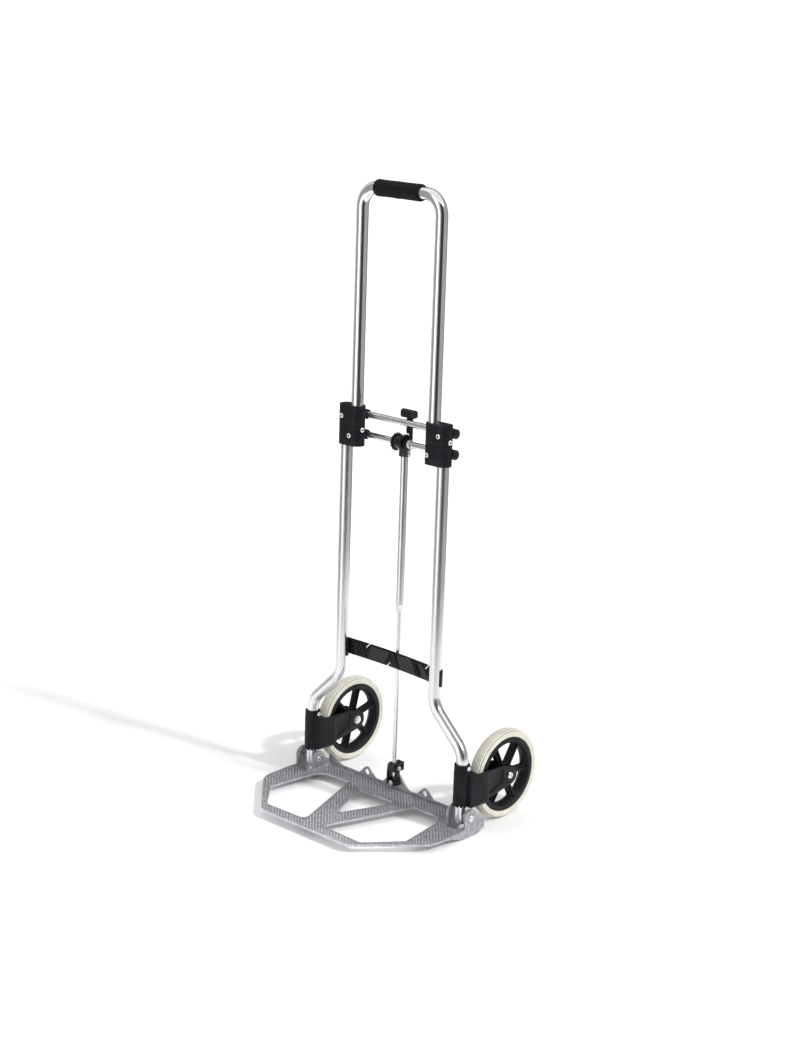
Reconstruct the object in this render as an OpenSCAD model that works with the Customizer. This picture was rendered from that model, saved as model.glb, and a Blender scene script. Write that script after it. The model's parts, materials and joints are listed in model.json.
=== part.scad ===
// Folding hand truck: leaned tube frame, telescoping handle, hinged toe plate and
// wheels that swing in when the toe plate folds up. Millimetres, +Z up, +Y to the rear,
// origin on the floor at the middle of the footprint.

/* [Frame] */
// Backward lean of the tube frame in degrees
lean = 2.6; // [2:0.1:4]
// Height of the toe plate's hinge pins above the floor
hinge_z = 35; // [34:0.5:36]
// Outer diameter of every frame and handle tube
tube_d = 22; // [20:0.5:22]
// Wall thickness of the tubes
tube_wall = 1.5; // [1:0.1:2]
// Half distance between the feet of the lower tubes
foot_half = 193; // [192:1:196]
// Half distance between the lower tubes above their bends
upper_half = 119.5; // [118:0.5:121]
// Height of the lower corner of each bend, along the tube from the hinge
bend_low = 118; // [117:1:122]
// Height of the upper corner of each bend
bend_high = 187; // [184:1:190]
// Centre-line radius of the bends
bend_r = 46; // [40:1:48]

/* [Handle] */
// Half distance between the handle's legs
leg_half = 95.5; // [94:0.5:96]
// Height of the grip bar's centre line
handle_top = 1099.5; // [1050:0.5:1150]
// Centre-line radius of the handle's two corners
handle_bend_r = 36; // [30:1:40]
// Diameter of the foam grip
grip_d = 31; // [28:0.5:34]
// Length of the foam grip
grip_len = 108; // [96:1:112]

/* [Clamp blocks and crossbars] */
// Height of the seam between the upper and the lower blocks
seam_v = 667.5; // [640:0.5:690]
// Height of one block
block_h = 37; // [34:1:40]
// Radius of a block's rounded sides
block_r = 15; // [14:0.5:16]
// Diameter of the crossbars
bar_d = 11.6; // [10:0.2:11.6]
// Distance of the crossbars behind the tube plane
bar_w = 17.2; // [17.2:0.1:17.6]

/* [Link rod] */
// Distance of the rod behind the tube plane
rod_w = 27.5; // [27.5:0.5:28.5]
// Diameter of the inner rod
rod_d = 8; // [7:0.5:8]
// Outer diameter of the outer link tube
link_tube_d = 13.5; // [12:0.5:13.5]
// Height of the outer link tube's lower end
link_tube_low = 345; // [340:1:350]
// Height of the inner rod's upper end
rod_top = 400; // [395:1:401]
// Height of the rod's lower pivot above the hinge pins
pivot_v = 28; // [27:0.5:28]

/* [Wheels] */
// Outer radius of the tyres
wheel_r = 84; // [82:0.5:84]
// Radius where the tyre meets the rim
rim_r = 70; // [66:0.5:71]
// Width of the tyres
tyre_width = 24.6; // [22:0.2:24.6]
// Distance from the tube's axis to the wheel's axle
wheel_arm = 107; // [105:0.5:107]
// Distance of the wheel's middle plane outside the tube's axis
wheel_offset = 4; // [3:0.5:4]
// Diameter of the axles
axle_d = 10; // [8:0.5:10]
// Number of spokes in a rim
spokes = 6; // [5:1:7]

/* [Toe plate] */
// Half width of the toe plate
toe_half = 220.5; // [220.5:0.5:222]
// Reach of the toe plate in front of the hinge pins
toe_reach = 207; // [200:1:215]
// Height of the plate's top face under the hinge pins
deck_drop = 17; // [17:0.5:18]
// Thickness of the plate
deck_t = 4; // [3.5:0.5:6]
// Distance of the rear flange's front face behind the hinge pins
flange_y = 31.5; // [31.5:0.5:32]
// Thickness of the rear flange
flange_t = 3; // [3:0.5:4]
// Diameter of the hinge pins
hinge_pin_d = 8; // [6:0.5:8]

/* [Hidden] */
$fn = 64;

black = [0.09, 0.09, 0.1];
silver = [0.78, 0.79, 0.8];
steel = [0.62, 0.63, 0.65];
cast_grey = [0.5, 0.51, 0.53];
tyre_grey = [0.83, 0.81, 0.75];

tube_r = tube_d / 2;
bar_r = bar_d / 2;
run = 0.06;                                   // radial clearance of a running fit
slide = 0.1;                                  // radial clearance of a sliding fit
foot_v = -15;                                 // lower end of the lower tubes
tube_top_v = seam_v + block_h - 5;            // upper end of the lower tubes
leg_foot_v = seam_v - block_h + 4;            // lower end of the handle's legs
seam_gap = 0.6;
lap = 0.3;
ease = 0.15;
upper_bar_v = seam_v + 20;
lower_bar_v = seam_v - 17.5;
barrel_r = 9;
barrel_x0 = leg_half - 10;                    // inner end of a block's bar barrel
barrel_x1 = upper_half + 12.8;                // outer end of a block's bar barrel
bend_angle = atan2(foot_half - upper_half, bend_high - bend_low);
bend_t = bend_r * tan(bend_angle / 2);
slope_len = norm([foot_half - upper_half, bend_high - bend_low]) - 2 * bend_t;

wheel_v = (wheel_r - hinge_z + wheel_arm * sin(lean)) / cos(lean);
wheel_back = wheel_arm * cos(lean) + wheel_v * sin(lean) + wheel_r;
hinge_y = (toe_reach - wheel_back) / 2;       // centres the footprint on the origin

fork_in = 15;                                 // inner face of a fork arm from the wheel plane
fork_t = 4;
sleeve_r = 14.5;
sleeve_low = 17.5;
sleeve_high = 96;
hub_half = 12.6;                              // half width of a rim's hub
bush_r = 7.5;

cheek_in = 15.6;                              // inner cheek's near face from the tube's axis
cheek_out = 23;                               // outer cheek's near face from the tube's axis
cheek_t = 4;
cheek_r = 16.5;
lug_x = 75;                                   // side lugs of the rear flange
lug_hole_r = 6;

strip_v = 240;
strip_h = 30;
strip_t = 3.5;
strip_turn = 1.1;                             // the band hangs a little askew
grip_x = -5.5;                                // the grip's middle, a little to the left
hub_x = 11.5;                                 // half width of the rod hub
arm_x0 = 5.2;                                 // near edge of the latch arm beside the rod
arm_x1 = 19;

// ---- helpers ----

// Moves children from the tube plane's frame [across, behind, along] to the part's frame
module leaned() {
    translate([0, hinge_y, hinge_z]) rotate([-lean, 0, 0]) children();
}

// Moves children from the hinge pins' frame to the part's frame, without the lean
module at_hinge() {
    translate([0, hinge_y, hinge_z]) children();
}

// Draws children on the right, or mirrored on the left
module on_side(side) {
    mirror([side < 0 ? 1 : 0, 0, 0]) children();
}

// Cylinder along X from x0 to x1
module rod_x(r, x0, x1) {
    translate([x0, 0, 0]) rotate([0, 90, 0]) cylinder(h = x1 - x0, r = r);
}

// Points of one polygon corner p = [x, y, radius], rounded with an arc
function corner(a, p, b, n = 6) =
    let (u = [a[0] - p[0], a[1] - p[1]],
         w = [b[0] - p[0], b[1] - p[1]],
         un = u / norm(u),
         wn = w / norm(w),
         half = acos(un * wn) / 2,
         d = p[2] / tan(half),
         c = [p[0], p[1]] + (un + wn) / norm(un + wn) * p[2] / sin(half),
         s = [p[0], p[1]] + un * d - c,
         e = [p[0], p[1]] + wn * d - c,
         a0 = atan2(s[1], s[0]),
         turn = atan2(s[0] * e[1] - s[1] * e[0], s * e))
    [for (i = [0:n]) c + p[2] * [cos(a0 + turn * i / n), sin(a0 + turn * i / n)]];

// Outline through corners [x, y, radius], each rounded with its own radius
function rounded(pts, n = 6) =
    [for (i = [0:len(pts) - 1])
        each corner(pts[(i + len(pts) - 1) % len(pts)], pts[i], pts[(i + 1) % len(pts)], n)];

function mirrored(pts) = [for (i = [len(pts) - 1:-1:0]) [-pts[i][0], pts[i][1], pts[i][2]]];

// Domed rivet head on a face, pointing along +Z
module rivet_head(r, h) {
    difference() {
        union() {
            cylinder(h = h * 0.5, r = r);
            translate([0, 0, h * 0.5]) cylinder(h = h * 0.5, r1 = r, r2 = r * 0.75);
        }
        translate([0, 0, h * 0.5]) cylinder(h = h, r = r * 0.35);
    }
}

// ---- lower frame ----

// Straight stretches run a little way over the bends, which are a hair thinner, so all join
module lower_tube_path(r, over) {
    translate([foot_half, 0, foot_v - over])
        cylinder(h = bend_low - bend_t - foot_v + over + lap, r = r);
    translate([foot_half - bend_r, 0, bend_low - bend_t])
        rotate([90, 0, 0]) rotate_extrude(angle = bend_angle) translate([bend_r, 0]) circle(r - ease);
    translate([foot_half - bend_r * (1 - cos(bend_angle)), 0,
               bend_low - bend_t + bend_r * sin(bend_angle)])
        rotate([0, -bend_angle, 0]) translate([0, 0, -lap]) cylinder(h = slope_len + 2 * lap, r = r);
    translate([upper_half + bend_r, 0, bend_high + bend_t])
        rotate([90, 0, 0]) rotate([0, 0, 180])
            rotate_extrude(angle = bend_angle) translate([bend_r, 0]) circle(r - ease);
    translate([upper_half, 0, bend_high + bend_t - lap])
        cylinder(h = tube_top_v - bend_high - bend_t + lap + over, r = r);
}

module lower_tube(side) {
    color(silver) leaned() on_side(side) difference() {
        lower_tube_path(tube_r, 0);
        lower_tube_path(tube_r - tube_wall, 1);
        translate([foot_half, 0, 0]) rod_x(hinge_pin_d / 2 + run, -tube_d, tube_d);
    }
}

module lower_tube_left() { lower_tube(-1); }
module lower_tube_right() { lower_tube(1); }

// Rivets of the blocks: [middle of the wall's curve, turn about it, height above the seam, side]
upper_rivets = [[upper_half, 3, 16, -1], [118.5, 0, 17.5, 1], [upper_half, 90, 7, 1]];
lower_rivets = [[leg_half, -88, -6.5, -1], [100.5, 0, -18, -1], [leg_half, -9, -20, 1]];

// Places children on one side's rivets, in seats sunk a little into the block's wall
module at_rivets(spots, side) {
    for (s = spots) if (s[3] == side)
        translate([s[0], 0, seam_v + s[2]]) rotate([0, 0, s[1]])
            translate([0, 0.6 - block_r, 0]) rotate([90, 0, 0]) children();
}

// Stadium block round both tubes with a barrel for the crossbar behind it
module block_body(v0, v1, bar_v) {
    difference() {
        union() {
            translate([0, 0, v0]) {
                translate([leg_half, 0, 0]) cylinder(h = v1 - v0, r = block_r);
                translate([upper_half, 0, 0]) cylinder(h = v1 - v0, r = block_r);
                translate([leg_half, -block_r, 0])
                    cube([upper_half - leg_half, 2 * block_r, v1 - v0]);
            }
            translate([0, bar_w, bar_v]) rod_x(barrel_r, barrel_x0, barrel_x1);
        }
        translate([0, bar_w, bar_v]) rod_x(bar_r, barrel_x0 - 1, barrel_x1 + 1);
    }
}

module upper_block(side) {
    v0 = seam_v + seam_gap / 2;
    v1 = seam_v + block_h;
    color(black) leaned() on_side(side) difference() {
        block_body(v0, v1, upper_bar_v);
        translate([leg_half, 0, v0 - 1]) cylinder(h = block_h + 2, r = tube_r + slide);
        translate([upper_half, 0, v0 - 1]) cylinder(h = tube_top_v - v0 + 1, r = tube_r);
        at_rivets(upper_rivets, side) cylinder(h = 3, r = 4);
    }
}

module upper_block_left() { upper_block(-1); }
module upper_block_right() { upper_block(1); }

module crossbar(bar_v) {
    color(steel) leaned() translate([0, bar_w, bar_v]) difference() {
        rod_x(bar_r, -barrel_x1, barrel_x1);
        rod_x(bar_r - 1.2, -barrel_x1 - 1, barrel_x1 + 1);
    }
}

// Push-in caps that close the ends of a crossbar
module bar_caps(bar_v) {
    color(black) leaned() translate([0, bar_w, bar_v]) for (side = [-1, 1]) on_side(side) {
        rod_x(bar_r - 1.2, barrel_x1 - 10, barrel_x1);
        rod_x(barrel_r, barrel_x1, barrel_x1 + 1);
        translate([barrel_x1 + 1, 0, 0]) rotate([0, 90, 0])
            cylinder(h = 1.2, r1 = barrel_r, r2 = barrel_r - 2.5);
    }
}

module upper_crossbar() { crossbar(upper_bar_v); }
module upper_bar_caps() { bar_caps(upper_bar_v); }

module block_rivets(spots) {
    color(silver) leaned() for (side = [-1, 1])
        on_side(side) at_rivets(spots, side) rivet_head(4, 2.2);
}

module upper_block_rivets() { block_rivets(upper_rivets); }

// Cross strip: a bowed plastic band behind the lower tubes, clipped round their backs
strip_flat = 104;                             // where the band starts to bow
function strip_line(x) =
    tube_r + strip_t / 2 + (abs(x) < strip_flat ? 5 * (1 - pow(x / strip_flat, 2)) : 0);

module strip_clip() {
    translate([upper_half, 0, strip_v - strip_h / 2]) difference() {
        cylinder(h = strip_h, r = tube_r + 2.5);
        translate([-tube_d, -tube_d, -1]) cube([2 * tube_d, tube_d, strip_h + 2]);
    }
}

// Slanted slit through the band: [across, height above its middle, turn, length, width]
module strip_slit(s) {
    translate([s[0], tube_r + 5, s[1]]) rotate([0, s[2], 0])
        cube([s[4], 16, s[3]], center = true);
}

module cross_strip() {
    reach = upper_half + 4;
    xs = [for (i = [-20:20]) reach * i / 20];
    color(black) leaned() difference() {
        union() {
            translate([0, 0, strip_v]) rotate([0, strip_turn, 0]) difference() {
                translate([0, 0, -strip_h / 2]) linear_extrude(strip_h) polygon(concat(
                    [for (x = xs) [x, strip_line(x) - strip_t / 2]],
                    [for (i = [len(xs) - 1:-1:0]) [xs[i], strip_line(xs[i]) + strip_t / 2]]));
                strip_slit([-64.5, 12, 45, 19, 2.4]);
                strip_slit([-80.3, -7, -38, 5, 1.6]);
                strip_slit([-13.8, -12.4, 40, 15, 2.4]);
                strip_slit([86, 10.5, 45, 17, 2.4]);
            }
            for (side = [-1, 1]) on_side(side) strip_clip();
        }
        for (side = [-1, 1]) on_side(side)
            translate([upper_half, 0, strip_v - strip_h / 2 - 4])
                cylinder(h = strip_h + 8, r = tube_r);
    }
}

module strip_rivets() {
    color(steel) leaned() for (side = [-1, 1]) on_side(side)
        translate([upper_half, tube_r + strip_t, strip_v]) rotate([-90, 0, 0]) rivet_head(3.2, 1.6);
}

// ---- handle ----

module handle_path(r, over) {
    leg_top = handle_top - handle_bend_r;
    for (side = [-1, 1]) on_side(side) {
        translate([leg_half, 0, leg_foot_v - over])
            cylinder(h = leg_top - leg_foot_v + over, r = r);
        translate([leg_half - handle_bend_r, 0, leg_top]) rotate([90, 0, 0])
            rotate_extrude(angle = 90) translate([handle_bend_r, 0]) circle(r);
    }
    translate([0, 0, handle_top])
        rod_x(r, handle_bend_r - leg_half, leg_half - handle_bend_r);
}

module handle_tube() {
    color(silver) leaned() difference() {
        handle_path(tube_r, 0);
        handle_path(tube_r - tube_wall, 1);
    }
}

module foam_grip() {
    r = grip_d / 2;
    half = grip_len / 2;
    edge = 4;
    color(black) leaned() translate([grip_x, 0, handle_top]) rotate([0, 90, 0])
        rotate_extrude() polygon(concat(
            [[tube_r, -half], [tube_r, half]],
            [for (a = [90:-15:0]) [r - edge + edge * cos(a), half - edge + edge * sin(a)]],
            [for (a = [0:-15:-90]) [r - edge + edge * cos(a), edge - half + edge * sin(a)]]));
}

module lower_block(side) {
    v0 = seam_v - block_h;
    v1 = seam_v - seam_gap / 2;
    color(black) leaned() on_side(side) difference() {
        block_body(v0, v1, lower_bar_v);
        translate([upper_half, 0, v0 - 1]) cylinder(h = block_h + 2, r = tube_r + slide);
        translate([leg_half, 0, leg_foot_v]) cylinder(h = block_h, r = tube_r);
        at_rivets(lower_rivets, side) cylinder(h = 3, r = 4);
    }
}

module lower_block_left() { lower_block(-1); }
module lower_block_right() { lower_block(1); }
module lower_crossbar() { crossbar(lower_bar_v); }
module lower_bar_caps() { bar_caps(lower_bar_v); }

module lower_block_rivets() { block_rivets(lower_rivets); }

// ---- link rod and latch ----

hub_r = 12.5;
disc_r = 15.5;
socket_r = 10.5;
socket_low = lower_bar_v - 26;                // lower end of the hub's rod socket
link_tube_top = lower_bar_v - 12;

module rod_hub() {
    color(black) leaned() difference() {
        union() {
            translate([0, bar_w, lower_bar_v]) rod_x(hub_r, -hub_x, hub_x);
            translate([0, rod_w, socket_low])
                cylinder(h = lower_bar_v - socket_low + 8, r = socket_r);
            for (x = [-hub_x, hub_x - 3]) translate([x, bar_w, lower_bar_v]) rotate([0, 90, 0])
                cylinder(h = 3, r = disc_r, $fn = 12);
        }
        translate([0, bar_w, lower_bar_v]) rod_x(bar_r, -hub_x - 1, hub_x + 1);
        translate([0, rod_w, socket_low - 1])
            cylinder(h = link_tube_top - socket_low + 1, r = link_tube_d / 2);
        translate([0, rod_w, socket_low]) cylinder(h = 60, r = rod_d / 2 + 0.4);
    }
}

// Clamp screws of the hub, driven in from its right side
module hub_screws() {
    color(steel) leaned() for (v = [socket_low + 3.6, socket_low + 10])
        translate([0, rod_w, v]) {
            rod_x(1.5, link_tube_d / 2, socket_r);
            translate([socket_r - 0.4, 0, 0]) rotate([0, 90, 0]) rivet_head(3, 1.8);
        }
}

module link_tube() {
    color(silver) leaned() translate([0, rod_w, link_tube_low]) difference() {
        cylinder(h = link_tube_top - link_tube_low, r = link_tube_d / 2);
        translate([0, 0, -1])
            cylinder(h = link_tube_top - link_tube_low + 2, r = link_tube_d / 2 - 1.2);
    }
}

// Plastic ferrule that guides the inner rod at the mouth of the link tube
module link_tube_ferrule() {
    color(steel) leaned() translate([0, rod_w, link_tube_low]) difference() {
        union() {
            translate([0, 0, -6]) cylinder(h = 6, r = link_tube_d / 2);
            translate([0, 0, -14]) cylinder(h = 8, r1 = rod_d / 2 + 1.2, r2 = link_tube_d / 2);
            cylinder(h = 16, r = link_tube_d / 2 - 1.2);
        }
        translate([0, 0, -15]) cylinder(h = 32, r = rod_d / 2 + run);
    }
}

latch_w0 = bar_w + bar_r + 0.8;               // front face of the latch arm
latch_t = 4;
knob_v0 = upper_bar_v + 7;

module latch_lever() {
    eye_x0 = hub_x + 0.5;
    eye_r = 10;
    color(black) leaned() difference() {
        union() {
            translate([0, bar_w, lower_bar_v]) rod_x(eye_r, eye_x0, arm_x1);
            translate([eye_x0, bar_w, lower_bar_v - eye_r])
                cube([arm_x1 - eye_x0, latch_w0 + latch_t - bar_w, 2 * eye_r]);
            translate([arm_x0, latch_w0, lower_bar_v + disc_r + 1.5])
                cube([arm_x1 - arm_x0, latch_t, knob_v0 - lower_bar_v - disc_r - 1.5]);
            translate([eye_x0, latch_w0, lower_bar_v])
                cube([arm_x1 - eye_x0, latch_t, disc_r + 4]);
        }
        translate([0, bar_w, lower_bar_v]) rod_x(bar_r + run, eye_x0 - 1, arm_x1 + 1);
    }
}

module latch_knob() {
    color(black) leaned() translate([(arm_x1 - 8) / 2, latch_w0 - 0.4, knob_v0])
        difference() {
            translate([-15, 0, 0]) rotate([90, 0, 90]) linear_extrude(30)
                polygon(rounded([[0, 0, 2], [14, 0, 3], [14, 15, 7], [0, 15, 5]]));
            for (x = [-9:6:9]) translate([x - 1, 12.8, 2]) cube([2, 3, 7]);
            for (side = [-1, 1]) translate([side * 16.5, 0, 0]) rotate([0, side * 12, 0])
                translate([-2.5, -1, -5]) cube([5, 20, 40]);
        }
}

// Torsion spring on the lower crossbar beside the latch's eye
module latch_spring() {
    turns = 4;
    sides = 8;
    steps = 16;
    coil_r = bar_r + 1.4;
    wire_r = 0.6;
    pitch = 1.5;
    pts = [for (i = [0:turns * steps], k = [0:sides - 1])
        let (a = 360 * i / steps, b = 360 * k / sides, r = coil_r + wire_r * cos(b))
        [pitch * i / steps + wire_r * sin(b), r * cos(a), r * sin(a)]];
    quads = [for (i = [0:turns * steps - 1], k = [0:sides - 1])
        [i * sides + k, i * sides + (k + 1) % sides,
         (i + 1) * sides + (k + 1) % sides, (i + 1) * sides + k]];
    ends = [[for (k = [sides - 1:-1:0]) k], [for (k = [0:sides - 1]) turns * steps * sides + k]];
    color(steel) leaned() translate([arm_x1 + 1.2, bar_w, lower_bar_v])
        polyhedron(points = pts, faces = concat(quads, ends));
}

pivot_r = norm([rod_w, pivot_v]);             // rod pivot's distance from the hinge line
eye_half = 7.2;                               // half width of the rod's slotted eye
bolt_r = 2.5;

// Inner rod with a slotted eye; the slot takes up the pivot's swing about the hinge
module link_rod() {
    slot_half_h = bolt_r + 1.9;
    slot_front = bolt_r + 1.6;
    slot_back = pivot_r - rod_w + bolt_r + 0.6;
    wall = 3.2;
    color(silver) leaned() {
        difference() {
            union() {
                translate([0, rod_w, pivot_v]) cylinder(h = rod_top - pivot_v, r = rod_d / 2);
                translate([-eye_half, rod_w - slot_front - wall, pivot_v - slot_half_h - wall])
                    cube([2 * eye_half, slot_front + slot_back + 2 * wall, 2 * (slot_half_h + wall)]);
            }
            translate([-eye_half - 1, rod_w - slot_front, pivot_v - slot_half_h])
                cube([2 * eye_half + 2, slot_front + slot_back, 2 * slot_half_h]);
        }
    }
}

// ---- toe plate ----

deck_bottom = -deck_drop - deck_t;

deck_side = [
    [toe_half, -24, 3], [toe_half, -101, 40], [112, -toe_reach, 26]
];
deck_rear = [
    [-foot_half + cheek_in + 1, -24, 1], [-foot_half + cheek_in + 1, flange_y + flange_t, 1],
    [foot_half - cheek_in - 1, flange_y + flange_t, 1], [foot_half - cheek_in - 1, -24, 1]
];
side_opening = [
    [176, -124, 7], [159, -7, 34], [84, -7, 5], [21, -181, 12], [121, -184, 8]
];
middle_opening = [[48, -17, 8], [0, -126, 7], [-48, -17, 8]];

// Corners [back, up, radius] of an ear's cheek behind its front edge
cheek_back = [
    [14, -hinge_z, 8], [flange_y + flange_t, -hinge_z + 8, 6], [flange_y + flange_t, -10, 4],
    [cheek_r, 0, 4], [-cheek_r, 0, 1], [-cheek_r, -deck_drop, 2]
];
inner_front = [[-60, -deck_drop - 1, 0.8], [-60, deck_bottom + 1, 0.8], [-14, -hinge_z, 12]];
outer_front = [
    [-91, -deck_drop - 1, 0.8], [-91, deck_bottom + 1, 0.8], [-56, deck_bottom - 3, 30],
    [-18, -hinge_z, 12]
];

module cheek(x0, front) {
    translate([x0, 0, 0]) rotate([90, 0, 90]) linear_extrude(cheek_t) {
        circle(cheek_r);
        polygon(rounded(concat(cheek_back, front), 4));
    }
}

// Height of the rear flange's edge above the hinge line at x
function bump(x, centre, height, reach) =
    abs(x - centre) < reach ? height * (0.5 + 0.5 * cos(180 * (x - centre) / reach)) : 0;
function flange_top(x) =
    -13.5 + bump(abs(x), lug_x, 17.5, 25) + bump(x, 0, 29.5, 40) + bump(abs(x), 177, 14.5, 40);

module rear_flange() {
    reach = foot_half - cheek_in;
    xs = [for (i = [-59:59]) reach * i / 59];
    translate([0, flange_y + flange_t, 0]) rotate([90, 0, 0]) linear_extrude(flange_t)
        difference() {
            polygon(concat([[reach, deck_bottom], [-reach, deck_bottom]],
                [for (x = xs) [x, flange_top(x)]]));
            for (side = [-1, 1]) translate([side * lug_x, -6.5]) circle(lug_hole_r);
            translate([-eye_half - 1.3, 4]) square([2 * eye_half + 2.6, 20]);
        }
}

// Face teeth on the outer cheek that work with the teeth under the wheel bracket's sleeve
module cheek_teeth() {
    translate([foot_half + cheek_out, 0, 0]) {
        rod_x(cheek_r - 1, -2, 0);
        for (a = [0:22.5:337.5]) rotate([a, 0, 0]) translate([-4.5, 8, -1.3]) cube([3, 7, 2.6]);
    }
}

module toe_plate() {
    color(cast_grey) at_hinge() difference() {
        union() {
            translate([0, 0, deck_bottom]) linear_extrude(deck_t) difference() {
                polygon(rounded(concat(deck_side, mirrored(deck_side), deck_rear)));
                polygon(rounded(side_opening));
                polygon(rounded(mirrored(side_opening)));
                polygon(rounded(middle_opening));
            }
            rear_flange();
            for (side = [-1, 1]) on_side(side) {
                cheek(foot_half - cheek_in - cheek_t, inner_front);
                cheek(foot_half + cheek_out, outer_front);
                cheek_teeth();
            }
        }
        for (side = [-1, 1]) on_side(side) translate([foot_half, 0, 0])
            rod_x(hinge_pin_d / 2, -cheek_in - cheek_t - 1, cheek_out + cheek_t + 1);
        translate([0, flange_y - 1, -2.5]) rotate([-90, 0, 0]) cylinder(h = flange_t + 2, r = 2);
        translate([-168, flange_y - 4, -deck_drop - 1.6]) cube([336, 4, 4]);
    }
}

module hinge_pin(side) {
    color(steel) at_hinge() on_side(side) translate([foot_half, 0, 0]) {
        rod_x(hinge_pin_d / 2, -cheek_in - cheek_t, cheek_out + cheek_t);
        translate([cheek_out + cheek_t, 0, 0]) rotate([0, 90, 0]) rivet_head(6.5, 2.2);
        translate([-cheek_in - cheek_t, 0, 0]) rotate([0, -90, 0]) rivet_head(6.5, 2.2);
    }
}

module hinge_pin_left() { hinge_pin(-1); }
module hinge_pin_right() { hinge_pin(1); }

// Lower pivot of the link rod, in the hinge pins' frame
pivot_y = rod_w * cos(lean) + pivot_v * sin(lean);
pivot_z = pivot_v * cos(lean) - rod_w * sin(lean);
clevis_in = eye_half + 0.8;
clevis_t = 3.5;

// Black bracket on the flange whose two ears hold the rod's bolt
module rod_clevis() {
    web_y0 = flange_y - 12;
    color(black) at_hinge() difference() {
        union() {
            translate([-clevis_in - clevis_t, web_y0, -7])
                cube([2 * (clevis_in + clevis_t), 12, 8.5]);
            for (side = [-1, 1]) on_side(side)
                translate([clevis_in, 0, 0]) rotate([90, 0, 90]) linear_extrude(clevis_t) {
                    translate([pivot_y, pivot_z]) circle(7);
                    polygon([
                        [web_y0, -7], [flange_y, -7], [flange_y, pivot_z - 8],
                        [pivot_y + 6.6, pivot_z - 2.5], [pivot_y - 6.6, pivot_z + 2.5],
                        [web_y0, pivot_z - 14]
                    ]);
                }
        }
        translate([0, pivot_y, pivot_z])
            rod_x(bolt_r, -clevis_in - clevis_t - 1, clevis_in + clevis_t + 1);
        translate([0, web_y0 - 1, -2.5]) rotate([-90, 0, 0]) cylinder(h = 14, r = 2);
    }
}

module clevis_bolt() {
    reach = clevis_in + clevis_t;
    color(steel) at_hinge() translate([0, pivot_y, pivot_z]) {
        rod_x(bolt_r, -reach, reach);
        translate([reach, 0, 0]) rotate([0, 90, 0]) rivet_head(4.2, 2.6);
        translate([-reach - 2.4, 0, 0]) rotate([0, 90, 0]) cylinder(h = 2.4, r = 4.2, $fn = 6);
    }
}

module clevis_screw() {
    web_y0 = flange_y - 12;
    color(silver) at_hinge() translate([0, 0, -2.5]) {
        translate([0, web_y0, 0]) rotate([-90, 0, 0]) cylinder(h = 12 + flange_t, r = 2);
        translate([0, web_y0, 0]) rotate([90, 0, 0]) rivet_head(5, 2.8);
        translate([0, flange_y + flange_t, 0]) rotate([-90, 0, 0])
            cylinder(h = 2.4, r = 3.8, $fn = 6);
    }
}

// ---- wheels and their brackets ----

// Places children at the foot of a lower tube, on its axis
module at_foot(side) {
    leaned() on_side(side) translate([foot_half, 0, 0]) children();
}

// Places children on a wheel's axis, with X along it
module at_wheel(side) {
    at_foot(side) translate([wheel_offset, wheel_arm, wheel_v]) children();
}

fork_low = 17.5;
fork_high = 77;
root_back = 48;                               // back of the solid root behind the sleeve
boss_r = 18.5;

// Outline of a fork arm in [back, up] with its boss at the axle
module arm_outline() {
    translate([wheel_arm, wheel_v]) circle(boss_r);
    polygon([
        [2, fork_low], [root_back, fork_low], [root_back + 2, fork_low + 6.5],
        [wheel_arm + 3.4, wheel_v - boss_r + 0.4], [wheel_arm + 3.4, wheel_v + boss_r - 0.5],
        [wheel_arm - 22, fork_high], [2, fork_high]
    ]);
}

// The outer side of an arm is sunk between an upper and a lower rib
module fork_arm(x0) {
    recess = 1.6;
    sunk_x0 = x0 > wheel_offset ? x0 + fork_t - recess : x0 - 1;
    difference() {
        translate([x0, 0, 0]) rotate([90, 0, 90]) linear_extrude(fork_t) arm_outline();
        translate([sunk_x0, 0, 0]) rotate([90, 0, 90]) linear_extrude(recess + 1)
            polygon(rounded([
                [root_back + 2, fork_high - 5, 2], [wheel_arm - 21, fork_high - 5, 3],
                [wheel_arm - 19, wheel_v + 5, 6], [wheel_arm - 20, wheel_v - 8, 3],
                [root_back + 4, fork_low + 15, 2]
            ], 3));
    }
}

module wheel_bracket(side) {
    span = fork_in + fork_t;
    color(black) at_foot(side) difference() {
        union() {
            translate([0, 0, sleeve_low]) cylinder(h = sleeve_high - sleeve_low, r = sleeve_r);
            translate([wheel_offset - span, 2, fork_low])
                cube([2 * span, root_back - 2, fork_high - fork_low]);
            fork_arm(wheel_offset + fork_in);
            fork_arm(wheel_offset - span);
        }
        translate([0, 0, sleeve_low - 1])
            cylinder(h = sleeve_high - sleeve_low + 2, r = tube_r + run);
        translate([wheel_offset, wheel_arm, wheel_v]) {
            rod_x(wheel_r + 2.2, -fork_in, fork_in);
            rod_x(axle_d / 2, -span - 1, span + 1);
        }
        for (a = [0:30:330]) rotate([0, 0, a]) translate([tube_r - 1, -1.6, sleeve_low - 1])
            cube([5, 3.2, 4]);
    }
}

module wheel_bracket_left() { wheel_bracket(-1); }
module wheel_bracket_right() { wheel_bracket(1); }

// Guide screws at the top of the sleeve, one on each side of the tube
module bracket_screws(side) {
    color(silver) at_foot(side) for (a = [8, 172]) rotate([0, 0, a])
        translate([sleeve_r - 0.7, 0, sleeve_high - 6]) rotate([0, 90, 0]) rivet_head(4.3, 2.4);
}

module bracket_screws_left() { bracket_screws(-1); }
module bracket_screws_right() { bracket_screws(1); }

module axle(side) {
    span = fork_in + fork_t;
    color(steel) at_wheel(side) {
        rod_x(axle_d / 2, -span, span);
        translate([span, 0, 0]) rotate([0, 90, 0]) rivet_head(6.4, 2.6);
        rod_x(3.5, -span - 4, -span);
    }
}

module axle_left() { axle(-1); }
module axle_right() { axle(1); }

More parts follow.
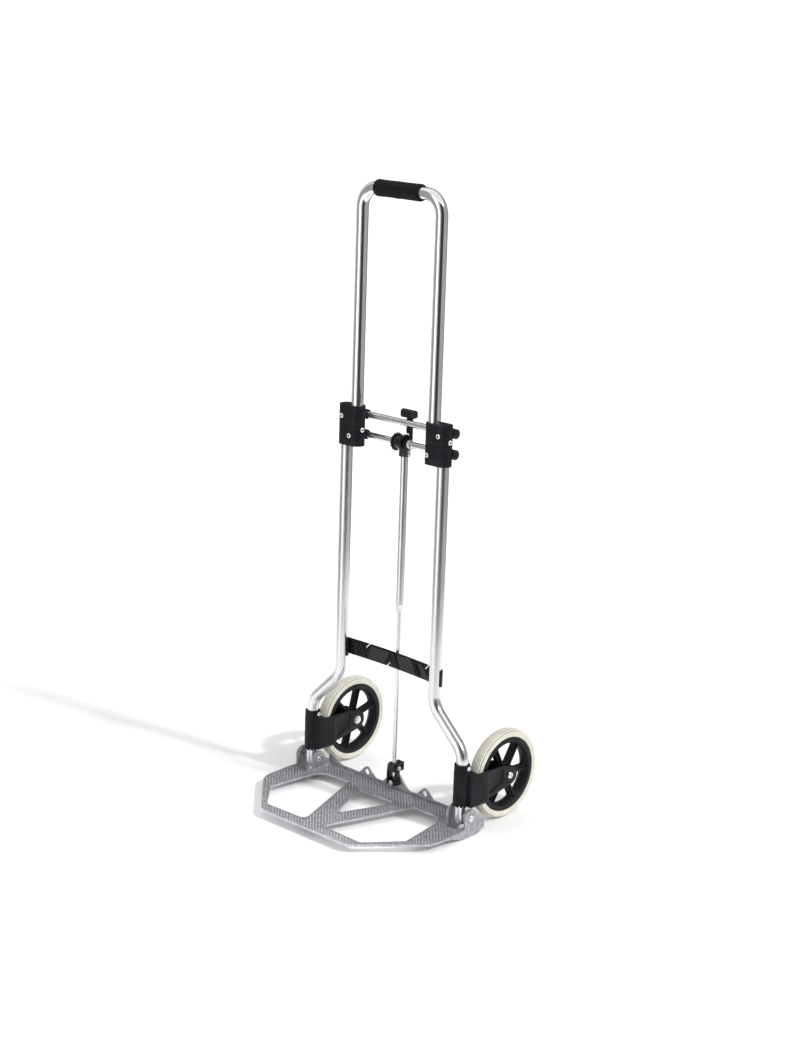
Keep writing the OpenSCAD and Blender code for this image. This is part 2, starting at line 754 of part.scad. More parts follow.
module axle_nut(side) {
    span = fork_in + fork_t;
    color(steel) at_wheel(side) difference() {
        union() {
            translate([-span - 3.2, 0, 0]) rotate([0, 90, 0]) cylinder(h = 3.2, r = 7, $fn = 6);
            rod_x(8, -span - 0.8, -span);
        }
        rod_x(3.5, -span - 5, -span + 1);
    }
}

module axle_nut_left() { axle_nut(-1); }
module axle_nut_right() { axle_nut(1); }

module axle_washers(side) {
    color(steel) at_wheel(side) for (end = [-1, 1]) mirror([end < 0 ? 1 : 0, 0, 0])
        difference() {
            rod_x(9, hub_half + 0.4, fork_in);
            rod_x(axle_d / 2, hub_half, fork_in + 1);
        }
}

module axle_washers_left() { axle_washers(-1); }
module axle_washers_right() { axle_washers(1); }

// One window between two spokes, a rounded triangle on its side
module spoke_window() {
    half_spoke = 5.5;
    pitch = 360 / spokes;
    r_in = 21;
    r_out = 57;
    a_in = pitch / 2 - asin(half_spoke / r_in);
    a_out = pitch / 2 - asin((half_spoke - 0.5) / r_out);
    polygon(rounded(concat(
        [for (s = [-1, 1]) [r_in * cos(s * a_in), r_in * sin(s * a_in), 2]],
        [[r_out * cos(a_out), r_out * sin(a_out), 5]],
        [for (t = [0.5, 0, -0.5]) [r_out * cos(t * a_out), r_out * sin(t * a_out), 12]],
        [[r_out * cos(a_out), -r_out * sin(a_out), 5]]), 3));
}

module rim(side) {
    phase = side > 0 ? 57.5 : 15.5;
    flange_half = tyre_width / 2 - 0.6;
    web = 5;
    color(black) at_wheel(side) rotate([phase, 0, 0]) rotate([0, 90, 0]) difference() {
        union() {
            rotate_extrude() polygon([
                [bush_r, -hub_half], [15, -hub_half], [16.5, -hub_half + 1.5], [17, -web],
                [57, -web], [60, -flange_half + 1], [61, -flange_half],
                [rim_r - 1.5, -flange_half], [rim_r, -flange_half + 1.5],
                [rim_r, flange_half - 1.5], [rim_r - 1.5, flange_half], [61, flange_half],
                [60, flange_half - 1], [57, web], [17, web], [16.5, hub_half - 1.5],
                [15, hub_half], [bush_r, hub_half]
            ]);
            for (i = [0:spokes - 1]) rotate([0, 0, (i + 0.5) * 360 / spokes])
                translate([16, -1.2, -9]) cube([43, 2.4, 18]);
        }
        for (i = [0:spokes - 1]) rotate([0, 0, i * 360 / spokes])
            translate([0, 0, -20]) linear_extrude(40) spoke_window();
    }
}

module rim_left() { rim(-1); }
module rim_right() { rim(1); }

module tyre(side) {
    half = tyre_width / 2;
    crown = 7;
    color(tyre_grey) at_wheel(side) rotate([0, 90, 0]) rotate_extrude() polygon(concat(
        [[rim_r, half - 2], [rim_r, 2 - half], [rim_r + 2, -half]],
        [for (a = [-90:15:0]) [wheel_r - crown + crown * cos(a), crown - half + crown * sin(a)]],
        [for (a = [0:15:90]) [wheel_r - crown + crown * cos(a), half - crown + crown * sin(a)]],
        [[rim_r + 2, half]]));
}

module tyre_left() { tyre(-1); }
module tyre_right() { tyre(1); }

module wheel_bush(side) {
    color(silver) at_wheel(side) difference() {
        rod_x(bush_r, -hub_half, hub_half);
        rod_x(axle_d / 2 + run, -hub_half - 1, hub_half + 1);
    }
}

module wheel_bush_left() { wheel_bush(-1); }
module wheel_bush_right() { wheel_bush(1); }

lower_tube_left();
lower_tube_right();
upper_block_left();
upper_block_right();
upper_crossbar();
upper_bar_caps();
upper_block_rivets();
cross_strip();
strip_rivets();
handle_tube();
foam_grip();
lower_block_left();
lower_block_right();
lower_crossbar();
lower_bar_caps();
lower_block_rivets();
rod_hub();
hub_screws();
link_tube();
link_tube_ferrule();
latch_lever();
latch_knob();
latch_spring();
link_rod();
toe_plate();
rod_clevis();
clevis_bolt();
clevis_screw();
hinge_pin_left();
hinge_pin_right();
wheel_bracket_left();
wheel_bracket_right();
bracket_screws_left();
bracket_screws_right();
axle_left();
axle_right();
axle_nut_left();
axle_nut_right();
axle_washers_left();
axle_washers_right();
rim_left();
rim_right();
tyre_left();
tyre_right();
wheel_bush_left();
wheel_bush_right();
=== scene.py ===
"""Looks of the folding hand truck: studio, materials and detailed pieces round the CAD frame."""

import json
import math

import bmesh
import bpy
from mathutils import Matrix, Vector, noise


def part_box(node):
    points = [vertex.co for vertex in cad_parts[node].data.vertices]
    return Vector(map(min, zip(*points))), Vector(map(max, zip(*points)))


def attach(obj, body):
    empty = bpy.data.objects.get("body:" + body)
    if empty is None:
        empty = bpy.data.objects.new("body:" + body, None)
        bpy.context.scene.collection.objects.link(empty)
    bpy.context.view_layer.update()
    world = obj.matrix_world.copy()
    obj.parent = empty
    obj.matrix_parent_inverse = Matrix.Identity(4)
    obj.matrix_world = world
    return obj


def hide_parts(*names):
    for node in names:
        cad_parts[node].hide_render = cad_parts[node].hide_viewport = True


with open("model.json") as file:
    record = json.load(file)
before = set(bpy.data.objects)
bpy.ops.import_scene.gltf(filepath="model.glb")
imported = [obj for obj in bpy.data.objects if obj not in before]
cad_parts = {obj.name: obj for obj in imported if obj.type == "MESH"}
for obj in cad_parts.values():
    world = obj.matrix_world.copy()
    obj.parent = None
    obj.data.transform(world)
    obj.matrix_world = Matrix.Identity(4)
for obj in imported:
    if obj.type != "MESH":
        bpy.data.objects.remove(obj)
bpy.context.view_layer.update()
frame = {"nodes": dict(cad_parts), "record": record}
MM = 0.001


# ---- places worked out from the frame ----

def middle(node):
    low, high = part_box(node)
    return (low + high) / 2


HINGE = Vector((0, middle("hinge_pin_left").y, middle("hinge_pin_left").z))
GRIP = middle("foam_grip")
LEAN = math.atan2(GRIP.y - HINGE.y, GRIP.z - HINGE.z)
FOOT_HALF = 193 * MM
UPPER_HALF = 119.5 * MM
LEG_HALF = 95.5 * MM
TUBE_R = 11 * MM
TUBE_WALL = 1.5 * MM
BLOCK_R = 15 * MM
SEAM = 667.5 * MM
PLATE_TOP = HINGE.z - 17 * MM

# From [across, behind, along] in the leaned tube plane to the part's frame
LEANED = Matrix.Translation(HINGE) @ Matrix.Rotation(-LEAN, 4, "X")


# ---- camera, light and floor ----

def add_camera():
    """Camera at the photograph's angle: 43.9 degrees round, 16.3 degrees up."""
    around, down = 0.7657, 0.2837
    distance, aim_across, aim_height = 3.7935, 0.0305, 0.5512
    sight = Vector((-math.sin(around) * math.cos(down), math.cos(around) * math.cos(down),
                    -math.sin(down)))
    aim = Vector((aim_across * math.cos(around), aim_across * math.sin(around) + HINGE.y,
                  aim_height))
    data = bpy.data.cameras.new("camera")
    data.lens = 73.36
    data.sensor_width = 36
    data.sensor_fit = "AUTO"
    data.clip_end = 200
    camera = bpy.data.objects.new("camera", data)
    bpy.context.scene.collection.objects.link(camera)
    camera.location = aim - sight * distance
    camera.rotation_euler = sight.to_track_quat("-Z", "Y").to_euler()
    bpy.context.scene.camera = camera


def add_sun(name, toward, strength, spread):
    """Soft key light: a distant lamp shining toward a direction, spread degrees wide."""
    data = bpy.data.lights.new(name, "SUN")
    data.energy = strength
    data.angle = math.radians(spread)
    lamp = bpy.data.objects.new(name, data)
    lamp.rotation_euler = Vector(toward).to_track_quat("-Z", "Y").to_euler()
    bpy.context.scene.collection.objects.link(lamp)


def mesh_object(name, vertices, faces):
    mesh = bpy.data.meshes.new(name)
    mesh.from_pydata(vertices, [], faces)
    mesh.validate()
    mesh.update()
    made = bpy.data.objects.new(name, mesh)
    bpy.context.scene.collection.objects.link(made)
    return made


def shade(piece, angle):
    """Smooth shading with sharp edges where faces meet at more than the angle in degrees."""
    mesh = piece.data
    work = bmesh.new()
    work.from_mesh(mesh)
    limit = math.radians(angle)
    for face in work.faces:
        face.smooth = True
    for edge in work.edges:
        edge.smooth = len(edge.link_faces) == 2 and edge.calc_face_angle(math.pi) < limit
    work.to_mesh(mesh)
    work.free()
    mesh.update()


def add_floor():
    half = 60
    floor = mesh_object("floor", [(-half, -half, 0), (half, -half, 0), (half, half, 0),
                                  (-half, half, 0)], [(0, 1, 2, 3)])
    surface = Surface("floor_paper")
    grain = surface.noise(1.3, 3)
    surface.colour(surface.blend_colours(grain, (0.92, 0.92, 0.92), (0.95, 0.95, 0.95)))
    surface.constant("Roughness", 0.9)
    surface.constant("Specular IOR Level", 0.15)
    floor.data.materials.append(surface.material)


def add_surround(name, start, end, brightness):
    """Piece of the studio round the white sweep, which only shows in reflections.

    start and end are degrees round the part from the camera, rising to the image's right. The
    floor strip fades from the sweep's white to the brightness of the wall behind it.
    """
    inner, outer, height, lift = 1.15, 2.6, 3.4, 0.002
    toward_camera = math.degrees(math.atan2(*bpy.context.scene.camera.location.yx))
    steps = 24
    vertices, faces = [], []
    for i in range(steps + 1):
        a = math.radians(toward_camera + start + (end - start) * i / steps)
        out = Vector((math.cos(a), math.sin(a), 0))
        vertices += [out * inner + Vector((0, 0, lift)), out * outer + Vector((0, 0, lift)),
                     out * outer + Vector((0, 0, height))]
    for i in range(steps):
        faces += [(3 * i + k, 3 * i + 3 + k, 3 * i + 4 + k, 3 * i + 1 + k) for k in (0, 1)]
    card = mesh_object(name, vertices, faces)
    card.visible_camera = False
    card.visible_diffuse = False
    card.visible_shadow = False
    card.visible_transmission = False
    card.data.materials.append(surround_glow(name + "_glow", brightness, inner))


def surround_glow(name, brightness, inner):
    surface = Surface(name)
    distance = surface.nodes.new("ShaderNodeVectorMath")
    distance.operation = "LENGTH"
    surface.links.new(surface.origin, distance.inputs[0])
    glow = surface.nodes.new("ShaderNodeEmission")
    fade_width, sweep_white = 0.35, 0.9
    fade = surface.spread(distance.outputs["Value"], sweep_white, brightness,
                          inner, inner + fade_width)
    mottle = surface.spread(surface.noise(1.1, 3), 0.9, 1.1)
    surface.links.new(surface.joined("MULTIPLY", fade, mottle), glow.inputs["Strength"])
    output = surface.nodes["Material Output"]
    surface.links.new(glow.outputs["Emission"], output.inputs["Surface"])
    return surface.material


def add_studio():
    scene = bpy.context.scene
    scene.view_settings.view_transform = "Standard"
    world = bpy.data.worlds.new("studio")
    world.use_nodes = True
    background = world.node_tree.nodes["Background"]
    background.inputs["Color"].default_value = (1, 1, 1, 1)
    background.inputs["Strength"].default_value = 0.89
    scene.world = world
    add_sun("key", (-0.745, -0.12, -0.656), 1.8, 4.5)
    add_floor()
    for side, start, end, brightness in (
            ("left", -128, -74, 0.34), ("rear_light", -152, -128, 0.95), ("rear", 152, 208, 0.12),
            ("right_rear", 122, 152, 0.22), ("light", -68, -34, 1.5), ("camera", -12, 38, 0.05),
            ("right", 44, 122, 0.40), ("edge", -34, -12, 0.5), ("gap", -74, -68, 0.5),
            ("seam", 38, 44, 0.25)):
        add_surround("surround_" + side, start, end, brightness)


# ---- procedural materials ----

TYRE_LOW, TYRE_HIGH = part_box("tyre_right")
TREAD_LINES = 7
TREAD_X = (TYRE_LOW.x + TYRE_HIGH.x) / 2
TREAD_PITCH = (TYRE_HIGH.x - TYRE_LOW.x) / TREAD_LINES


class Surface:
    """A node material in object coordinates, which are metres in the part's frame."""

    def __init__(self, name, metallic=0.0):
        self.material = bpy.data.materials.new(name)
        self.material.use_nodes = True
        self.nodes = self.material.node_tree.nodes
        self.links = self.material.node_tree.links
        self.shader = self.nodes["Principled BSDF"]
        self.shader.inputs["Metallic"].default_value = metallic
        self.origin = self.nodes.new("ShaderNodeTexCoord").outputs["Object"]
        self.normal = None

    def constant(self, socket, value):
        self.shader.inputs[socket].default_value = value

    def stretched(self, x, y, z):
        """Object coordinates scaled along each axis."""
        mapping = self.nodes.new("ShaderNodeMapping")
        mapping.inputs["Scale"].default_value = (x, y, z)
        self.links.new(self.origin, mapping.inputs["Vector"])
        return mapping.outputs["Vector"]

    def noise(self, scale, detail, at=None):
        node = self.nodes.new("ShaderNodeTexNoise")
        node.inputs["Scale"].default_value = scale
        node.inputs["Detail"].default_value = detail
        self.links.new(at or self.origin, node.inputs["Vector"])
        return node.outputs["Fac"]

    def cells(self, scale):
        node = self.nodes.new("ShaderNodeTexVoronoi")
        node.inputs["Scale"].default_value = scale
        self.links.new(self.origin, node.inputs["Vector"])
        return node.outputs["Distance"]

    def position(self):
        """Separate X, Y and Z of the object coordinates."""
        node = self.nodes.new("ShaderNodeSeparateXYZ")
        self.links.new(self.origin, node.inputs["Vector"])
        return node.outputs

    def tinted(self, colour, strength):
        """Colour times a strength that varies over the surface."""
        node = self.nodes.new("ShaderNodeVectorMath")
        node.operation = "SCALE"
        self.links.new(colour, node.inputs[0])
        self.links.new(strength, node.inputs["Scale"])
        return node.outputs["Vector"]

    def spread(self, value, low, high, start=0.3, end=0.7):
        """Maps value from start..end to low..high, clamped."""
        node = self.nodes.new("ShaderNodeMapRange")
        node.inputs["From Min"].default_value = start
        node.inputs["From Max"].default_value = end
        node.inputs["To Min"].default_value = low
        node.inputs["To Max"].default_value = high
        self.links.new(value, node.inputs["Value"])
        return node.outputs["Result"]

    def joined(self, kind, a, b):
        node = self.nodes.new("ShaderNodeMath")
        node.operation = kind
        self.links.new(a, node.inputs[0])
        self.links.new(b, node.inputs[1])
        return node.outputs["Value"]

    def measured(self, kind, a, amount=0.0):
        """Math node with a fixed second value."""
        node = self.nodes.new("ShaderNodeMath")
        node.operation = kind
        self.links.new(a, node.inputs[0])
        node.inputs[1].default_value = amount
        return node.outputs["Value"]

    def blend_colours(self, factor, dark, light, start=0.3, end=0.7):
        node = self.nodes.new("ShaderNodeValToRGB")
        node.color_ramp.elements[0].position = start
        node.color_ramp.elements[0].color = (*dark, 1)
        node.color_ramp.elements[1].position = end
        node.color_ramp.elements[1].color = (*light, 1)
        self.links.new(factor, node.inputs["Fac"])
        return node.outputs["Color"]

    def colour(self, socket):
        self.links.new(socket, self.shader.inputs["Base Color"])

    def rough(self, value, low, high):
        self.links.new(self.spread(value, low, high), self.shader.inputs["Roughness"])

    def bump(self, height, depth, strength=1.0):
        """Adds a bump of that depth in metres on top of the ones before it."""
        node = self.nodes.new("ShaderNodeBump")
        node.inputs["Strength"].default_value = strength
        node.inputs["Distance"].default_value = depth
        self.links.new(height, node.inputs["Height"])
        if self.normal is not None:
            self.links.new(self.normal, node.inputs["Normal"])
        self.normal = node.outputs["Normal"]
        self.links.new(self.normal, self.shader.inputs["Normal"])


def black_plastic():
    """Moulded black nylon: fine spark grain, faint grey scuffs."""
    s = Surface("black_plastic")
    grain = s.cells(1400)
    clouds = s.noise(38, 4)
    scuffs = s.noise(260, 5, s.stretched(1, 1, 0.35))
    s.colour(s.blend_colours(clouds, (0.0042, 0.0046, 0.0062), (0.010, 0.011, 0.0145)))
    s.rough(scuffs, 0.38, 0.55)
    s.bump(grain, 0.00006, 0.5)
    s.bump(clouds, 0.0003, 0.25)
    s.constant("Specular IOR Level", 0.19)
    return s.material


def black_steel():
    """Black paint on stamped steel, with a slight orange peel."""
    s = Surface("black_steel")
    peel = s.noise(420, 2)
    clouds = s.noise(60, 3)
    s.colour(s.blend_colours(clouds, (0.006, 0.006, 0.007), (0.014, 0.014, 0.016)))
    s.rough(clouds, 0.22, 0.36)
    s.bump(peel, 0.00008, 0.4)
    s.constant("Specular IOR Level", 0.3)
    s.constant("Coat Weight", 0.08)
    s.constant("Coat Roughness", 0.15)
    return s.material


def satin_aluminium():
    """Anodised tube with fine lengthwise drawing lines."""
    s = Surface("satin_aluminium", 1.0)
    lines = s.noise(900, 3, s.stretched(1, 1, 0.012))
    clouds = s.noise(16, 4)
    s.colour(s.blend_colours(clouds, (0.74, 0.75, 0.77), (0.82, 0.83, 0.85)))
    s.rough(lines, 0.21, 0.29)
    s.bump(lines, 0.00003, 0.35)
    return s.material


def polished_aluminium():
    """Bright drawn tube with faint lengthwise scratches."""
    s = Surface("polished_aluminium", 1.0)
    lines = s.noise(1300, 4, s.stretched(1, 1, 0.008))
    clouds = s.noise(22, 4)
    s.colour(s.blend_colours(clouds, (0.82, 0.83, 0.85), (0.90, 0.91, 0.93)))
    s.rough(lines, 0.07, 0.14)
    s.bump(lines, 0.00002, 0.3)
    return s.material


def plated_steel():
    """Bright zinc with small mottled spangles."""
    s = Surface("plated_steel", 1.0)
    spangle = s.cells(420)
    clouds = s.noise(90, 4)
    s.colour(s.blend_colours(spangle, (0.68, 0.69, 0.71), (0.86, 0.87, 0.88), 0.1, 0.8))
    s.rough(clouds, 0.18, 0.32)
    s.bump(clouds, 0.00008, 0.3)
    return s.material


def bright_rivet():
    """Nickel-plated rivet heads, satin from tumbling."""
    s = Surface("bright_rivet", 0.35)
    clouds = s.noise(600, 3)
    s.colour(s.blend_colours(clouds, (0.80, 0.80, 0.81), (0.92, 0.92, 0.93)))
    s.rough(clouds, 0.25, 0.42)
    s.bump(clouds, 0.00004, 0.3)
    return s.material


def gloss_black():
    """Polished black moulding with faint swirls."""
    s = Surface("gloss_black")
    clouds = s.noise(90, 4)
    s.colour(s.blend_colours(clouds, (0.003, 0.003, 0.0035), (0.008, 0.008, 0.009)))
    s.rough(clouds, 0.1, 0.2)
    s.bump(clouds, 0.00015, 0.3)
    s.constant("Specular IOR Level", 0.45)
    return s.material


def grip_foam():
    """Closed-cell foam: matte charcoal with fine pores."""
    s = Surface("grip_foam")
    pores = s.cells(1500)
    clouds = s.noise(130, 4)
    s.colour(s.blend_colours(clouds, (0.005, 0.005, 0.006), (0.012, 0.012, 0.013)))
    s.rough(clouds, 0.72, 0.92)
    s.bump(pores, 0.00025, 0.6)
    s.bump(clouds, 0.0009, 0.4)
    s.constant("Specular IOR Level", 0.12)
    s.constant("Sheen Weight", 0.02)
    s.constant("Sheen Roughness", 0.5)
    return s.material


def cast_plate():
    """Silver-grey coated casting: sand grain, painted shade down the knurls' sides and a painted
    highlight on their tops.
    """
    s = Surface("cast_plate", 0.72)
    sand = s.noise(1100, 4)
    clouds = s.noise(28, 5)
    place = s.position()
    # Painted shade: the knurls' sides darken from just above the plate's top.
    knurl_side_shade = s.spread(place["Z"], 1, 0.22, PLATE_TOP, PLATE_TOP + 0.1 * MM)
    # Painted highlight: the knurls' tops are brightened well above the plate's own silver.
    knurl_top_highlight = s.spread(place["Z"], 1, 7.5, PLATE_TOP + 0.3 * MM, PLATE_TOP + 0.7 * MM)
    # Painted shade: anything higher than the knurl, the flange and ears, loses most of the knurl
    # tops' highlight and ends a little darker than the flat plate.
    above_knurl_shade = s.spread(place["Z"], 1, 0.55, PLATE_TOP + 0.9 * MM, PLATE_TOP + 1 * MM)
    mottle = s.spread(s.noise(170, 5), 0.8, 1.18, 0.36, 0.64)
    # Brighter towards the plate's front edge, darker towards the hinge.
    front_to_hinge_tone = s.spread(place["Y"], 1.3, 0.88, HINGE.y - 200 * MM, HINGE.y - 40 * MM)
    strength = s.joined("MULTIPLY", s.joined("MULTIPLY", knurl_side_shade, knurl_top_highlight),
                        s.joined("MULTIPLY", front_to_hinge_tone, s.joined("MULTIPLY", above_knurl_shade, mottle)))
    silver = s.blend_colours(clouds, (0.42, 0.43, 0.455), (0.525, 0.535, 0.56))
    s.colour(s.tinted(silver, strength))
    s.rough(sand, 0.34, 0.52)
    s.bump(sand, 0.00010, 0.5)
    s.bump(clouds, 0.0008, 0.4)
    return s.material


def grey_tyre():
    """Cream-grey rubber, a little dirty in its clouds, with painted shade in the tread's grooves.
    """
    s = Surface("grey_tyre")
    clouds = s.noise(45, 5)
    fine = s.noise(900, 3)
    offset = s.measured("SUBTRACT", s.measured("ABSOLUTE", s.position()["X"]), TREAD_X)
    near = s.measured("PINGPONG", offset, TREAD_PITCH / 2)
    # Painted shade: the tread darkens along the bottoms of its grooves.
    groove_shade = s.spread(near, 0.4, 1, 0.06 * TREAD_PITCH, 0.24 * TREAD_PITCH)
    cream = s.blend_colours(clouds, (0.54, 0.525, 0.455), (0.66, 0.645, 0.57))
    s.colour(s.tinted(cream, groove_shade))
    s.rough(fine, 0.62, 0.82)
    s.bump(fine, 0.00012, 0.4)
    s.constant("Specular IOR Level", 0.35)
    return s.material


def pale_nylon():
    """Natural nylon, faintly waxy."""
    s = Surface("pale_nylon")
    clouds = s.noise(140, 3)
    s.colour(s.blend_colours(clouds, (0.62, 0.62, 0.59), (0.76, 0.76, 0.73)))
    s.rough(clouds, 0.36, 0.52)
    s.bump(clouds, 0.0001, 0.3)
    s.constant("Subsurface Weight", 0.1)
    s.constant("Subsurface Scale", 0.002)
    return s.material


MATERIALS = {
    make.__name__: make()
    for make in (black_plastic, black_steel, satin_aluminium, polished_aluminium, plated_steel,
                 grip_foam, cast_plate, grey_tyre, pale_nylon, bright_rivet, gloss_black)
}
SLOT_OF = {row["node"]: row["material_slot"] for row in frame["record"]["subparts"]}


def paint(piece, slot_name):
    piece.data.materials.clear()
    piece.data.materials.append(MATERIALS[slot_name])


for node_name, node_object in frame["nodes"].items():
    paint(node_object, SLOT_OF[node_name])

BODY_OF = {
    name: body
    for body, names in frame["record"]["behaviour"]["bodies"].items() for name in names
}


def stands_for(piece, node):
    """Puts a finished piece in a CAD node's place: same body, same slot and finish."""
    paint(piece, SLOT_OF[node])
    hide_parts(node)
    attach(piece, BODY_OF[node])


# ---- detailed pieces ----

def lathe(name, centre, axis, profile, steps):
    """Turns a closed profile [(along, radius), ...] about the axis through centre into a ring."""
    along = Vector(axis).normalized()
    side = along.orthogonal().normalized()
    other = along.cross(side)
    vertices = []
    for i in range(steps):
        a = 2 * math.pi * i / steps
        out = side * math.cos(a) + other * math.sin(a)
        vertices += [centre + along * t + out * r for t, r in profile]
    count = len(profile)
    faces = []
    for i in range(steps):
        j = (i + 1) % steps
        for k in range(count):
            m = (k + 1) % count
            faces.append((i * count + k, i * count + m, j * count + m, j * count + k))
    return mesh_object(name, vertices, faces)


def tyre_profile(half_width, outer, inner):
    """Ring section: rounded shoulders, grooves round the tread and one line on each flank."""
    points = []
    steps_a_line = 8
    spans = TREAD_LINES * steps_a_line
    crown, groove_depth = 5.2 * MM, 1.3 * MM
    for i in range(spans + 1):
        t = -1 + 2 * i / spans
        fall = crown * abs(t) ** 3.2
        groove = groove_depth * max(0, -math.cos(2 * math.pi * i / steps_a_line)) ** 0.7
        points.append((t * half_width, outer - fall - groove))
    shoulder = outer - crown
    flank = [(half_width - 0.2 * MM, shoulder - 3 * MM),
             (half_width - 0.9 * MM, shoulder - 3.6 * MM),
             (half_width - 0.3 * MM, shoulder - 4.4 * MM),
             (half_width - 0.6 * MM, inner + 1.6 * MM),
             (half_width - 1.4 * MM, inner)]
    return points + flank + [(-t, r) for t, r in reversed(flank)]


def add_tyre(side):
    node = "tyre_" + side
    low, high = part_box(node)
    centre = (low + high) / 2
    outer = (high.z - low.z) / 2
    half = (high.x - low.x) / 2
    rim_seat = 70 * MM
    piece = lathe("tread_" + side, centre, (1, 0, 0), tyre_profile(half, outer, rim_seat), 128)
    shade(piece, 40)
    stands_for(piece, node)


def add_grip():
    """Foam sleeve with rounded ends, slightly uneven along and around."""
    node = "foam_grip"
    low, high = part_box(node)
    centre = (low + high) / 2
    half = (high.x - low.x) / 2
    outer = (high.z - low.z) / 2
    edge, waist = 4 * MM, 0.5 * MM
    end = [(-half, TUBE_R + 0.05 * MM)]
    corner_steps, spans = 6, 40
    for i in range(corner_steps + 1):
        a = math.pi / 2 * i / corner_steps
        end.append((-half + edge - edge * math.cos(a), outer - edge + edge * math.sin(a)))
    profile = list(end)
    for i in range(1, spans):
        t = -1 + 2 * i / spans
        profile.append((t * (half - edge), outer - waist * (1 - t * t) * abs(math.sin(3 * t))))
    profile += [(-t, r) for t, r in reversed(end)]
    piece = lathe("grip_foam_sleeve", centre, (1, 0, 0), profile, 72)
    for v in piece.data.vertices:
        out = Vector((0, v.co.y - centre.y, v.co.z - centre.z))
        if out.length > outer - 2 * MM:
            v.co -= out.normalized() * (0.25 * MM + 0.3 * MM * noise.noise(v.co * 90))
    shade(piece, 60)
    stands_for(piece, node)


def sweep(name, points, steps=40):
    """Tube along a route of points, with its wall's inside and its open ends."""
    rings = len(points)
    tangents = []
    for i in range(rings):
        before, after = points[max(i - 1, 0)], points[min(i + 1, rings - 1)]
        tangents.append((after - before).normalized())
    normal = tangents[0].orthogonal().normalized()
    sides = []
    for t in tangents:
        normal = (normal - t * normal.dot(t)).normalized()
        sides.append((normal.copy(), t.cross(normal)))
    vertices, faces = [], []
    for radius in (TUBE_R, TUBE_R - TUBE_WALL):
        for p, (n, b) in zip(points, sides):
            vertices += [p + (n * math.cos(2 * math.pi * k / steps)
                              + b * math.sin(2 * math.pi * k / steps)) * radius
                         for k in range(steps)]
    skin = rings * steps
    for i in range(rings - 1):
        for k in range(steps):
            m = (k + 1) % steps
            a, b, c, d = (i * steps + k, i * steps + m, (i + 1) * steps + m, (i + 1) * steps + k)
            faces.append((a, b, c, d))
            faces.append((a + skin, d + skin, c + skin, b + skin))
    last = (rings - 1) * steps
    for k in range(steps):
        m = (k + 1) % steps
        faces.append((m, k, k + skin, m + skin))
        faces.append((last + k, last + m, last + m + skin, last + k + skin))
    piece = mesh_object(name, vertices, faces)
    shade(piece, 50)
    return piece


def rounded_route(corners, radius, arc_steps=14):
    """Points along straight runs with rounded corners."""
    route = [corners[0]]
    for before, corner, after in zip(corners, corners[1:], corners[2:]):
        u = (before - corner).normalized()
        w = (after - corner).normalized()
        half = u.angle(w) / 2
        cut = radius / math.tan(half)
        centre = corner + (u + w).normalized() * radius / math.sin(half)
        start = corner + u * cut - centre
        end = corner + w * cut - centre
        turn = start.angle(end)
        axis = start.cross(end).normalized()
        for i in range(arc_steps + 1):
            route.append(centre + Matrix.Rotation(turn * i / arc_steps, 3, axis) @ start)
    route.append(corners[-1])
    return route


def leaned(x, behind, along):
    """Point in the part's frame from its place in the leaned tube plane."""
    return LEANED @ Vector((x, behind, along))


def add_handle():
    """The U tube; heights are along the leaned tubes from the hinge."""
    top, radius, foot = 1099.5 * MM, 36 * MM, 634.5 * MM
    corners = [leaned(-LEG_HALF, 0, foot), leaned(-LEG_HALF, 0, top), leaned(LEG_HALF, 0, top),
               leaned(LEG_HALF, 0, foot)]
    stands_for(sweep("bright_handle", rounded_route(corners, radius)), "handle_tube")


def add_lower_tubes():
    """The two S-bent tubes; heights are along the leaned tubes from the hinge."""
    foot, low, high, top, radius = -15 * MM, 118 * MM, 187 * MM, 699.5 * MM, 46 * MM
    for side, name in ((-1, "left"), (1, "right")):
        corners = [leaned(side * FOOT_HALF, 0, foot), leaned(side * FOOT_HALF, 0, low),
                   leaned(side * UPPER_HALF, 0, high), leaned(side * UPPER_HALF, 0, top)]
        stands_for(sweep("bent_tube_" + name, rounded_route(corners, radius)),
                   "lower_tube_" + name)


def refined(name, node, width):
    """Copy of a CAD node's mesh with its flat faces merged and its sharp edges rounded."""
    work = bmesh.new()
    work.from_mesh(frame["nodes"][node].data)
    bmesh.ops.remove_doubles(work, verts=work.verts, dist=0.002 * MM)
    bmesh.ops.dissolve_limit(work, angle_limit=math.radians(1.0), verts=work.verts,
                             edges=work.edges)
    piece = linked_piece(name, work)
    bevel = piece.modifiers.new("rounding", "BEVEL")
    bevel.width = width
    bevel.segments = 2
    bevel.limit_method = "ANGLE"
    bevel.angle_limit = math.radians(35)
    bevel.use_clamp_overlap = True
    bevel.harden_normals = False
    apply_modifiers(piece)
    shade(piece, 30)
    stands_for(piece, node)
    return piece


def apply_modifiers(piece):
    graph = bpy.context.evaluated_depsgraph_get()
    graph.update()
    mesh = bpy.data.meshes.new_from_object(piece.evaluated_get(graph))
    piece.modifiers.clear()
    piece.data = mesh


def linked_piece(name, work):
    """New object in the scene from a bmesh, which is freed."""
    mesh = bpy.data.meshes.new(name)
    work.to_mesh(mesh)
    work.free()
    piece = bpy.data.objects.new(name, mesh)
    bpy.context.scene.collection.objects.link(piece)
    return piece


def joined_lathes(name, turned):
    """One piece made of several turned shapes, each (centre, axis, profile)."""
    work = bmesh.new()
    for centre, axis, profile in turned:
        part = lathe(name + "_part", centre, axis, profile, 32)
        work.from_mesh(part.data)
        bpy.data.objects.remove(part)
    piece = linked_piece(name, work)
    shade(piece, 40)
    return piece


